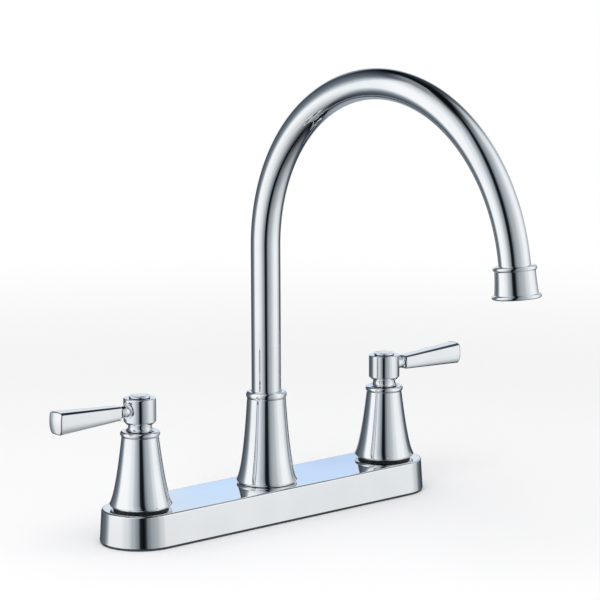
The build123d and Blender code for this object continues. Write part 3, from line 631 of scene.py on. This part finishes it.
def lever_bar():
    """Square bar that flares outward to a domed end with eased edges."""
    dome, ease, end_height = 34.0, 0.9, LEVER_HEIGHT + LEVER_RISE[1]
    start_rings = ((0.9, -0.9), (0.12, -0.15), (0.0, 0.1))  # inset, and place from the bar's start
    lengths, last_length, end_rings, dome_rings = 16, 0.97, 6, 12

    def grows(ends, share):
        return ends[0] + (ends[1] - ends[0]) * share

    def section(share, inset=0.0, place=None):
        width, depth, rise = (grows(ends, share) for ends in (LEVER_WIDTH, LEVER_DEPTH, LEVER_RISE))
        bevel = (grows(BEVEL_ACROSS, share), grows(BEVEL_DOWN, share))
        round_off = (grows(ROUND_ACROSS, share), grows(ROUND_DOWN, share))
        if place is None:
            place = grows((LEVER_START, LEVER_END), share)
        return bar_ring(place, width, depth, bevel, round_off, rise, inset)

    def domed(y, z):
        return LEVER_END - dome + sqrt(dome ** 2 - y * y - (z - end_height) ** 2)

    rings = [section(0.0, inset, LEVER_START + shift) for inset, shift in start_rings]
    rings += [section(last_length * k / lengths) for k in range(1, lengths + 1)]
    for t in quarter_turn(end_rings):
        ring = section(1.0, ease * (1 - cos(t)))
        rings.append([(domed(y, z) - ease * (1 - sin(t)), y, z) for _, y, z in ring])
    for k in range(1, dome_rings):
        share = 1 - k / dome_rings
        ring = [(y * share, end_height + (z - end_height) * share) for _, y, z in section(1.0, ease)]
        rings.append([(domed(y, z), y, z) for y, z in ring])
    return lofted(rings)


def lever_neck():
    """Round neck of the lever, like a ball between the hub and the bar, and its stud."""
    stud, stud_start, neck, neck_end, collar = 2.0, 3.4, 3.3, 15.2, 4.2
    outline = [(0, stud_start), (stud, stud_start), (stud, LEVER_SEAT), (neck, LEVER_SEAT)]
    outline += arc((neck, LEVER_SEAT), (neck + 0.5, (LEVER_SEAT + neck_end) / 2), (neck, neck_end), steps=16)
    outline += [(collar, 16.0), (neck, LEVER_START + 0.2), (0, LEVER_START + 0.2)]
    return along_lever(turned(eased(outline, 0.25), 96))


def lever(side, name):
    """The lever's bar and neck in one piece."""
    mesh = at_handle(side, shape_of(form_of(lever_bar(), lever_neck())))
    piece(f"{name}_lever_bar", mesh, CHROME, f"{name}_handle", f"{name}_lever")


def index_cap(side, name):
    """Round button on the hub: upright side, flat bevel and a domed face that is left plain, on a
    black ring that draws a thin dark line round the button's foot."""
    foot, side_top, face = HUB_TOP + 0.38, HUB_TOP + 1.15, HUB_TOP + 1.53
    stem, stem_foot, radius, step_radius, face_radius = SCREW_WELL - 0.05, HUB_TOP - 1.0, 6.6, 4.9, 4.75
    outline = [(0, stem_foot), (stem, stem_foot), (stem, foot), (radius, foot), (radius, side_top),
               (step_radius, side_top + 0.2), (face_radius, face)]
    outline += arc((face_radius, face), (2.4, face + 0.18), (0, face + 0.25))
    button = turned(eased(outline, 0.14), 128)
    piece(f"{name}_button", at_handle(side, button), CHROME, f"{name}_handle", f"{name}_index_cap", sharp=28)
    # the black ring under the button only draws the dark line round the button's foot
    ring = turned(eased(ring_outline(4.2, radius - 0.15, HUB_TOP, foot), 0.06), 96)
    piece(f"{name}_button_ring", at_handle(side, ring), RUBBER, f"{name}_handle")


# ---- spout ----
def spout_route():
    """Places along the spout's middle line: up, round the bend, and the short straight tail."""
    rise, rise_steps = SPOUT_RISE - TUBE_BOTTOM, 24
    bend_steps = ceil(degrees(BEND) / 2)  # one for each 2 degrees
    route = [(0, 0, TUBE_BOTTOM + rise * k / rise_steps) for k in range(rise_steps)]
    for k in range(bend_steps + 1):
        t = BEND * k / bend_steps
        route.append((0, BEND_RADIUS * (cos(t) - 1), SPOUT_RISE + BEND_RADIUS * sin(t)))
    last = Vector(route[-1]) + Vector((0, -sin(BEND), cos(BEND))) * TUBE_TAIL
    return route + [tuple(last)]


def new_form(name, sizes, counts=()):
    """An empty Geometry Nodes tree with named inputs for its sizes and its whole numbers."""
    tree = bpy.data.node_groups.new(name, "GeometryNodeTree")
    for way in ("INPUT", "OUTPUT"):
        tree.interface.new_socket("Geometry", in_out=way, socket_type="NodeSocketGeometry")
    for labels, kind in ((sizes, "NodeSocketFloat"), (counts, "NodeSocketInt")):
        for label in labels:
            tree.interface.new_socket(label, in_out="INPUT", socket_type=kind)
    return tree, add(tree, "NodeGroupInput").outputs


def grown(tree, mesh, **values):
    """The plain mesh that a Geometry Nodes tree makes, its inputs set by their identifiers."""
    helper = put("helper", mesh)
    made = helper.modifiers.new("form", "NODES")
    made.node_group = tree
    labels = {item.name.lower().replace(" ", "_"): item.identifier
              for item in tree.interface.items_tree if item.in_out == "INPUT"}
    for key, value in values.items():
        made[labels[key]] = value
    return applied(helper)


def finish_form(tree, parts, finish):
    """Ends a tree: its parts joined, instances made real, and the finish set."""
    both = add(tree, "GeometryNodeJoinGeometry", {"Geometry": parts}).outputs["Geometry"]
    real = add(tree, "GeometryNodeRealizeInstances", {"Geometry": both}).outputs["Geometry"]
    dressed = add(tree, "GeometryNodeSetMaterial", {"Geometry": real, "Material": finish})
    add(tree, "NodeGroupOutput", {"Geometry": dressed.outputs["Geometry"]})


def tube_form():
    """Tree that lays an outer wall and a bore along a route."""
    tree, given = new_form("spout_tube_form", ("Outer Radius", "Bore Radius"), ("Sides",))
    route = add(tree, "GeometryNodeMeshToCurve", {"Mesh": given["Geometry"]}).outputs["Curve"]
    walls = []
    for label in ("Outer Radius", "Bore Radius"):
        section = add(tree, "GeometryNodeCurvePrimitiveCircle",
                      {"Resolution": given["Sides"], "Radius": given[label]}, mode="RADIUS").outputs["Curve"]
        wall = add(tree, "GeometryNodeCurveToMesh", {"Curve": route, "Profile Curve": section})
        walls.append(wall.outputs["Mesh"])
    bore = add(tree, "GeometryNodeFlipFaces", {"Mesh": walls[1]}).outputs["Mesh"]
    finish_form(tree, [walls[0], bore], CHROME)
    return tree


def spout_tube():
    """Bent chrome tube, its two walls joined at the ends."""
    route = spout_route()
    line = to_mesh(route, [(k, k + 1) for k in range(len(route) - 1)], [])
    mesh = grown(tube_form(), line, outer_radius=TUBE_RADIUS * MM, bore_radius=TUBE_BORE * MM, sides=96)
    form = form_of(mesh)
    edges = [edge for edge in form.edges if edge.is_boundary]
    half_way = -BEND_RADIUS / 2 * MM
    bmesh.ops.bridge_loops(form, edges=[edge for edge in edges if edge.verts[0].co.y > half_way])
    bmesh.ops.bridge_loops(form, edges=[edge for edge in edges if edge.verts[0].co.y < half_way])
    bmesh.ops.recalc_face_normals(form, faces=form.faces)
    piece("spout_pipe", shape_of(form), CHROME, "spout", "spout_tube")


def at_tip(mesh):
    """The mesh moved from the Z axis to the end of the bend, with Z along the tube."""
    end = Vector((0, BEND_RADIUS * (cos(BEND) - 1), SPOUT_RISE + BEND_RADIUS * sin(BEND)))
    return placed(mesh, Matrix.Translation(end) @ Matrix.Rotation(BEND - pi, 4, "X"))


def spout_tip():
    """Flared chrome ferrule with a bead at each end."""
    top, bottom, bead, shoulder = 1.5, -17.2, 2.6, 10.5
    upper, lower = (11.9, top - bead), (12.8, bottom + bead)
    outline = [(shoulder, top)] + arc((shoulder, top), (12.8, top - 0.6 * bead), upper, steps=14)
    outline += arc(upper, (12.17, (top + bottom) / 2), lower, steps=14)
    outline += arc(lower, (14.4, bottom + bead / 2), (lower[0], bottom), steps=16)
    cup, cup_top, stop, socket = 11.0, -7.0, -5.0, TUBE_RADIUS + 0.1
    outline += [(cup, bottom), (cup, cup_top), (TUBE_BORE, cup_top), (TUBE_BORE, stop), (socket, stop),
                (socket, top)]
    piece("tip_ferrule", at_tip(turned(eased(outline, 0.18), 144)), CHROME, "spout", "spout_tip")


def aerator_ring():
    """Chrome ring that screws into the ferrule, with a lip that the screen rests on."""
    top, bottom, outer, bore, mouth, lip = -8.2, -16.2, 10.9, 9.4, 8.2, 1.6
    outline = [(outer, bottom), (outer, top), (bore, top), (bore, bottom + lip), (mouth, bottom + lip),
               (mouth, bottom)]
    piece("aerator_ring", at_tip(turned(eased(outline, 0.2), 128)), CHROME, "spout", "aerator_housing")


def screen_form():
    """Tree that crosses two layers of wires, each as long as its chord of a disc, in a given rim."""
    tree, given = new_form("screen_form", ("Wire", "Pitch", "Reach"), ("Count",))
    parts = []
    for turn in (0.0, pi / 2):
        wires = add(tree, "GeometryNodeMeshLine", {"Count": given["Count"]}, mode="OFFSET")
        index = add(tree, "GeometryNodeInputIndex").outputs["Index"]
        middle = add(tree, "ShaderNodeMath", {0: given["Count"], 1: 0.5, 2: -0.5},
                     operation="MULTIPLY_ADD").outputs[0]
        number = add(tree, "ShaderNodeMath", {0: index, 1: middle}, operation="SUBTRACT").outputs[0]
        off = add(tree, "ShaderNodeMath", {0: number, 1: given["Pitch"]}, operation="MULTIPLY").outputs[0]
        spot = add(tree, "ShaderNodeCombineXYZ", {"X": off}).outputs["Vector"]
        row = add(tree, "GeometryNodeSetPosition", {"Geometry": wires.outputs["Mesh"], "Position": spot})
        square = add(tree, "ShaderNodeMath", {0: off, 1: off}, operation="MULTIPLY").outputs[0]
        full = add(tree, "ShaderNodeMath", {0: given["Reach"], 1: 2.0}, operation="POWER").outputs[0]
        rest = add(tree, "ShaderNodeMath", {0: full, 1: square}, operation="SUBTRACT").outputs[0]
        chord = add(tree, "ShaderNodeMath", {0: rest}, operation="SQRT").outputs[0]
        length = add(tree, "ShaderNodeMath", {0: chord, 1: 2.0}, operation="MULTIPLY").outputs[0]
        wire = add(tree, "GeometryNodeMeshCylinder", {"Vertices": 8, "Radius": given["Wire"], "Depth": 1.0})
        lie = add(tree, "GeometryNodeTransform", {"Geometry": wire.outputs["Mesh"],
                                                  "Rotation": (pi / 2, 0, 0)}).outputs["Geometry"]
        size = add(tree, "ShaderNodeCombineXYZ", {"X": 1.0, "Y": length, "Z": 1.0}).outputs["Vector"]
        laid = add(tree, "GeometryNodeInstanceOnPoints", {"Points": row.outputs["Geometry"],
                                                         "Instance": lie, "Scale": size})
        parts.append(add(tree, "GeometryNodeTransform", {"Geometry": laid.outputs["Instances"],
                                                         "Rotation": (0, 0, turn)}).outputs["Geometry"])
    finish_form(tree, parts + [given["Geometry"]], STEEL)
    return tree


def aerator_screen():
    """Woven steel screen in a flat rim, at the mouth of the spout."""
    half_height, height_in_tip = 0.3, -14.3
    rim = turned(eased(ring_outline(8.3, 9.3, -half_height, half_height), 0.1), 96)
    mesh = grown(screen_form(), rim, wire=0.12 * MM, pitch=0.75 * MM, reach=8.5 * MM, count=22)
    middle = Matrix.Translation((0, 0, height_in_tip))
    piece("outlet_screen", at_tip(placed(mesh, middle)), STEEL, "spout", "aerator_screen")


# ---- below the deck ----
def node_copy(node):
    """A copy of a CAD node's mesh, its corners merged and its faces outward."""
    form = form_of(frame["nodes"][node].data)
    bmesh.ops.remove_doubles(form, verts=form.verts, dist=1e-6)
    bmesh.ops.recalc_face_normals(form, faces=form.faces)
    return shape_of(form)


def valve_casting(name):
    """The valve body's block and neck, cut from its CAD node at the foot of the shoulder."""
    form = form_of(node_copy(f"{name}_valve_body"))
    everything = form.verts[:] + form.edges[:] + form.faces[:]
    bmesh.ops.bisect_plane(form, geom=everything, plane_co=(0, 0, SHANK_TOP * MM), plane_no=(0, 0, -1),
                           clear_outer=True)
    bmesh.ops.triangle_fill(form, edges=[edge for edge in form.edges if edge.is_boundary], use_beauty=True)
    bmesh.ops.recalc_face_normals(form, faces=form.faces)
    piece(f"{name}_valve_casting", shape_of(form), BRASS, "base", f"{name}_valve_body")


def thread_form():
    """Tree that winds one ridge round a shank: a spiral with a small six-sided section."""
    tree, given = new_form("thread_form", ("Radius", "Depth", "Length", "Turns"))
    spiral = add(tree, "GeometryNodeCurveSpiral",
                 {"Resolution": 48, "Rotations": given["Turns"], "Start Radius": given["Radius"],
                  "End Radius": given["Radius"], "Height": given["Length"]}).outputs["Curve"]
    section = add(tree, "GeometryNodeCurvePrimitiveCircle", {"Resolution": 6, "Radius": given["Depth"]},
                  mode="RADIUS").outputs["Curve"]
    ridge = add(tree, "GeometryNodeCurveToMesh", {"Curve": spiral, "Profile Curve": section,
                                                  "Fill Caps": True}).outputs["Mesh"]
    finish_form(tree, [ridge, given["Geometry"]], BRASS)
    return tree


THREAD = thread_form()


def threaded_shank(side, name):
    """Hollow shank below the shoulder: mounting thread, then the narrower supply thread."""
    bore, mounting, supply, step, ridge = 5.0, 10.2, 9.7, -34.0, 0.42
    outline = [(bore, SHANK_BOTTOM), (supply - 0.4, SHANK_BOTTOM), (supply, SHANK_BOTTOM + 0.8),
               (supply, step - 0.4), (mounting, step), (mounting, SHANK_TOP), (bore, SHANK_TOP)]
    mesh = turned(eased(outline, 0.15), 128)
    for radius, bottom, length, pitch in ((10.55, -33.4, 26.8, 1.5), (10.03, -49.0, 14.6, 1.8)):
        mesh = placed(mesh, Matrix.Translation((0, 0, -bottom)))
        mesh = grown(THREAD, mesh, radius=radius * MM, depth=ridge * MM, length=length * MM,
                     turns=length / pitch)
        mesh = placed(mesh, Matrix.Translation((0, 0, bottom)))
    piece(f"{name}_shank", at_handle(side, mesh), BRASS, "base")


def eased_copy(name, node, finish, width):
    """A small part under the deck from its CAD node, its flat faces whole again and its edges eased."""
    mesh = modified(node_copy(node), "DECIMATE", decimate_type="DISSOLVE", angle_limit=radians(2))
    mesh = modified(mesh, "BEVEL", width=width * MM, segments=2, limit_method="ANGLE",
                    angle_limit=radians(40))
    piece(name, mesh, finish, "base", node)


# ---- what is inside keeps its CAD shape and gets its own finish ----
def finish_inside():
    """Gives each CAD node the finish of its slot."""
    by_slot = {slot: finish for finish, slot in SLOTS.items()}
    for entry in frame["record"]["subparts"]:
        held = frame["nodes"][entry["node"]]
        held.data.materials.clear()
        held.data.materials.append(by_slot[entry["material_slot"]])


finish_inside()
deck_plate()
plate_gasket()
spout_bell()
spout_tube()
spout_tip()
aerator_ring()
aerator_screen()
for side, name in ((-1, "hot"), (1, "cold")):
    handle_bell(side, name)
    bell_seal(side, name)
    handle_hub(side, name)
    lever(side, name)
    index_cap(side, name)
    valve_casting(name)
    threaded_shank(side, name)
    eased_copy(f"{name}_wing_nut", f"{name}_lock_nut", GREY_PLASTIC, 0.5)
    eased_copy(f"{name}_deck_washer", f"{name}_mounting_washer", STEEL, 0.2)


# ---- studio, in metres ----
CAMERA_TURN = 0.7243116396  # radians, the camera's place left of the front
CAMERA_DIP = 0.1736755560  # radians, how far it looks down
CAMERA_ROLL = -0.0035292116
CAMERA_DISTANCE = 1.86993876
CAMERA_RIGHT = 0.0214
CAMERA_UP = 0.135725
FOCAL_PIXELS = 2947.0237
PHOTO_PIXELS = 600
SENSOR_WIDTH = 36
TENT_RADIUS = 0.75
FLOOR_RADIUS = 1.2
FLOOR_FADE = (0.35, 1.1)  # from the middle to where it starts to fade, and to where it is gone
FLOOR_OPENING = 0.024  # half the width of the opening under the plate


def camera():
    """Long lens from the front left and a little above, as in the photograph."""
    aim = Matrix.Rotation(-CAMERA_TURN, 4, "Z") @ Matrix.Rotation(pi / 2 - CAMERA_DIP, 4, "X")
    lens = bpy.data.cameras.new("camera")
    lens.sensor_width = SENSOR_WIDTH
    lens.lens = FOCAL_PIXELS / PHOTO_PIXELS * SENSOR_WIDTH
    lens.clip_start = 0.1
    lens.clip_end = 50
    eye = put("camera", lens)
    eye.matrix_world = aim @ Matrix.Rotation(CAMERA_ROLL, 4, "Z")
    eye.location = aim @ Vector((CAMERA_RIGHT, CAMERA_UP, CAMERA_DISTANCE))
    scene.camera = eye


def bare_finish(name):
    """A material whose tree holds only its Object coordinates."""
    finish = bpy.data.materials.new(name)
    finish.use_nodes = True
    tree = finish.node_tree
    tree.nodes.clear()
    return finish, tree, add(tree, "ShaderNodeTexCoord").outputs["Object"]


def ramp(tree, angle, stops):
    """Colour ramp over an angle: stops are (degrees, colour), from -180 to 180."""
    share = add(tree, "ShaderNodeMapRange", {"Value": angle, "From Min": -pi, "From Max": pi})
    made = add(tree, "ShaderNodeValToRGB", {"Fac": share.outputs["Result"]})
    made.color_ramp.interpolation = "EASE"
    points = made.color_ramp.elements
    while len(points) < len(stops):
        points.new(0.5)
    for point, (degree, tone) in zip(points, stops):
        point.position = degree / 360 + 0.5
        point.color = colour(tone)
    return made.outputs["Color"]


def soft_step(tree, angle, start, end):
    """Smooth step of an angle, from 0 at the first degrees to 1 at the second."""
    return add(tree, "ShaderNodeMapRange",
               {"Value": angle, "From Min": radians(start), "From Max": radians(end)},
               interpolation_type="SMOOTHSTEP").outputs["Result"]


def together(tree, share, *others):
    """Several shares multiplied, so that it is full only where all of them are."""
    for other in others:
        share = add(tree, "ShaderNodeMath", {0: share, 1: other}, operation="MULTIPLY").outputs[0]
    return share


def laid_over(tree, below, above, *edges):
    """One colour over another within soft edges, each an angle and its two degrees."""
    share = together(tree, *(soft_step(tree, *edge) for edge in edges))
    return add(tree, "ShaderNodeMix", {"Factor": share, "A": below, "B": above},
               data_type="RGBA").outputs["Result"]


def tent_angles(tree, place):
    """Where a place on the tent lies, in radians: its turn from the camera's side, positive to the
    right, and its tilt above the horizon."""
    way = add(tree, "ShaderNodeVectorMath", {0: place}, operation="NORMALIZE").outputs["Vector"]
    facing = add(tree, "ShaderNodeMapping", {"Vector": way, "Scale": (1, -1, 1),
                                             "Rotation": (0, 0, -CAMERA_TURN)}).outputs["Vector"]
    axes = add(tree, "ShaderNodeSeparateXYZ", {"Vector": facing}).outputs
    turn = add(tree, "ShaderNodeMath", {0: axes["X"], 1: axes["Y"]}, operation="ARCTAN2").outputs[0]
    return turn, add(tree, "ShaderNodeMath", {0: axes["Z"]}, operation="ARCSINE").outputs[0]


def tent_walls(tree, turn, tilt):
    """A tall soft box on each side, and a dark slit between them that leans to the right as it
    rises, all of them dimmer low down and overhead."""
    rise = add(tree, "ShaderNodeMapRange", {"Value": tilt, "From Max": radians(70)}).outputs["Result"]
    curve = add(tree, "ShaderNodeMath", {0: rise, 1: 3.0}, operation="POWER").outputs[0]
    reach = add(tree, "ShaderNodeMapRange",
                {"Value": turn, "From Min": radians(-80), "From Max": radians(-30),
                 "To Min": radians(8), "To Max": radians(20)}).outputs["Result"]
    lean = together(tree, curve, reach, soft_step(tree, turn, 115, 65))  # up to 8 or 20 degrees
    leaning = add(tree, "ShaderNodeMath", {0: turn, 1: lean}, operation="SUBTRACT").outputs[0]
    walls = ramp(tree, leaning, [
        (-180, "#0D1014"), (-158, "#323A43"), (-140, "#4C565F"), (-114, "#687078"), (-104, "#8A9298"),
        (-97, "#BEC6CC"), (-91, "#F4F8FA"), (-86, "#FDFEFF"), (-58, "#FBFDFF"), (-38, "#E4E9EC"),
        (-22, "#B2BAC0"), (-12, "#8E969C"), (-5, "#1C2126"), (4, "#0D1014"), (8, "#2C3136"),
        (15, "#7E868C"), (26, "#A2AAB0"), (38, "#B4BBC0"), (54, "#D8DDE0"), (72, "#F6F8FA"),
        (92, "#F4F7F9"), (112, "#CFD5D9"), (127, "#69717A"), (146, "#3C434C"), (180, "#0D1014"),
    ])
    level = ramp(tree, tilt, [
        (-90, "#26282B"), (-74, "#4A4C50"), (-58, "#828588"), (-42, "#B4B6B8"), (-26, "#D6D8D9"),
        (-12, "#EEEFEF"), (4, "#FFFFFF"), (46, "#FFFFFF"), (58, "#EDEEEF"), (68, "#D2D4D6"),
        (76, "#AEB0B3"), (84, "#8A8D90"), (90, "#6E7175"),
    ])
    return add(tree, "ShaderNodeMix", {"Factor": 1.0, "A": walls, "B": level}, data_type="RGBA",
               blend_type="MULTIPLY").outputs["Result"]


def tent_cloth():
    """What glows on each side of the tent: its walls, four panels on them, and the window."""
    finish, tree, place = bare_finish("tent_cloth")
    turn, tilt = tent_angles(tree, place)
    lit = tent_walls(tree, turn, tilt)
    off_front = add(tree, "ShaderNodeMath", {0: turn}, operation="ABSOLUTE").outputs[0]
    dark_ceiling = ("#0D0F11", (tilt, 62, 78), (turn, -45, 22))
    grey_overhead = ("#828990", (tilt, 68, 80), (turn, -25, -65), (turn, -178, -140))
    pale_wing = ("#BEC5CC", (tilt, 3, 12), (tilt, 46, 35), (turn, 110, 134))
    grey_back = ("#9DA4AC", (tilt, 54, 42), (tilt, -75, -40), (off_front, 150, 168))
    for tone, *edges in (dark_ceiling, grey_overhead, pale_wing, grey_back):
        lit = laid_over(tree, lit, colour(tone), *edges)
    blue = ramp(tree, tilt, [(5, "#BFD0EA"), (12, "#BDD2F3"), (15.5, "#CCE3FF"), (19, "#DCE6F2"),
                             (30, "#E6EBF1")])
    sky = laid_over(tree, colour("#DEE6EF"), blue, (off_front, 170, 175))
    seen = laid_over(tree, lit, sky, (tilt, 41, 31), (tilt, 4, 11), (off_front, 152, 164))
    glow = add(tree, "ShaderNodeEmission", {"Color": seen, "Strength": 1.06})
    add(tree, "ShaderNodeOutputMaterial", {"Surface": glow.outputs["Emission"]})
    return finish


def studio_tent():
    """Light tent that only reflections see, with a window low behind, blue in its middle."""
    form = bmesh.new()
    bmesh.ops.create_uvsphere(form, u_segments=96, v_segments=48, radius=TENT_RADIUS)
    bmesh.ops.reverse_faces(form, faces=form.faces)
    tent = put("studio_tent", shape_of(form))
    tent.data.materials.append(tent_cloth())
    tent.visible_camera = False
    tent.visible_diffuse = False
    tent.visible_shadow = False


def floor_paper():
    """Pale paper that fades away round the faucet. It is clear from below, and open under the
    plate, so that light reaches the gasket when the underside is looked at."""
    finish, tree, place = bare_finish("floor_paper")
    reach = add(tree, "ShaderNodeVectorMath", {0: place}, operation="LENGTH").outputs["Value"]
    fade = add(tree, "ShaderNodeMapRange",
               {"Value": reach, "From Min": FLOOR_FADE[0], "From Max": FLOOR_FADE[1]},
               interpolation_type="SMOOTHSTEP").outputs["Result"]
    below = add(tree, "ShaderNodeNewGeometry").outputs["Backfacing"]
    spot = add(tree, "ShaderNodeSeparateXYZ", {"Vector": place}).outputs
    side = add(tree, "ShaderNodeMath", {0: spot["X"]}, operation="ABSOLUTE").outputs[0]
    past = add(tree, "ShaderNodeMapRange", {"Value": side, "From Min": HALF_SPACING * MM, "From Max": 1.0,
                                            "To Max": 1.0 - HALF_SPACING * MM}).outputs["Result"]
    flat = add(tree, "ShaderNodeCombineXYZ", {"X": past, "Y": spot["Y"]}).outputs["Vector"]
    off_line = add(tree, "ShaderNodeVectorMath", {0: flat}, operation="LENGTH").outputs["Value"]
    gone = add(tree, "ShaderNodeMath", {0: off_line, 1: FLOOR_OPENING}, operation="LESS_THAN").outputs[0]
    for other in (fade, below):
        gone = add(tree, "ShaderNodeMath", {0: gone, 1: other}, operation="MAXIMUM").outputs[0]
    paper = add(tree, "ShaderNodeBsdfDiffuse", {"Color": colour("#F8F8F9")})
    clear = add(tree, "ShaderNodeBsdfTransparent")
    mixed = add(tree, "ShaderNodeMixShader", {0: gone, 1: paper.outputs["BSDF"], 2: clear.outputs["BSDF"]})
    add(tree, "ShaderNodeOutputMaterial", {"Surface": mixed.outputs["Shader"]})
    return finish


def studio_floor():
    """Pale round floor that keeps the faucet's shadow."""
    form = bmesh.new()
    bmesh.ops.create_circle(form, cap_ends=True, radius=FLOOR_RADIUS, segments=96)
    floor = put("studio_floor", shape_of(form))
    floor.data.materials.append(floor_paper())
    floor.visible_glossy = False


def studio_light():
    """White all round, a little weaker as a light than where it is seen, and one big soft lamp
    above for the floor's shadow."""
    world = bpy.data.worlds.new("studio_white")
    scene.world = world
    world.use_nodes = True
    tree = world.node_tree
    tree.nodes.clear()
    ray = add(tree, "ShaderNodeLightPath").outputs
    seen = ray["Is Camera Ray"]
    for other in (ray["Is Glossy Ray"], ray["Is Transmission Ray"]):
        seen = add(tree, "ShaderNodeMath", {0: seen, 1: other}, operation="MAXIMUM").outputs[0]
    level = add(tree, "ShaderNodeMapRange", {"Value": seen, "To Min": 0.8, "To Max": 1.0}).outputs["Result"]
    white = add(tree, "ShaderNodeBackground", {"Color": colour("#FFFFFF"), "Strength": level})
    add(tree, "ShaderNodeOutputWorld", {"Surface": white.outputs["Background"]})
    lamp = bpy.data.lights.new("soft_lamp", "AREA")
    lamp.shape = "SQUARE"
    lamp.size = 0.9
    lamp.energy = 6.6
    holder = put("soft_lamp", lamp)
    holder.location = (-0.5, -0.4, 1.3)
    holder.rotation_euler = (-holder.location).to_track_quat("-Z", "Y").to_euler()
    holder.visible_glossy = False


camera()
studio_tent()
studio_floor()
studio_light()
scene.view_settings.view_transform = "Standard"
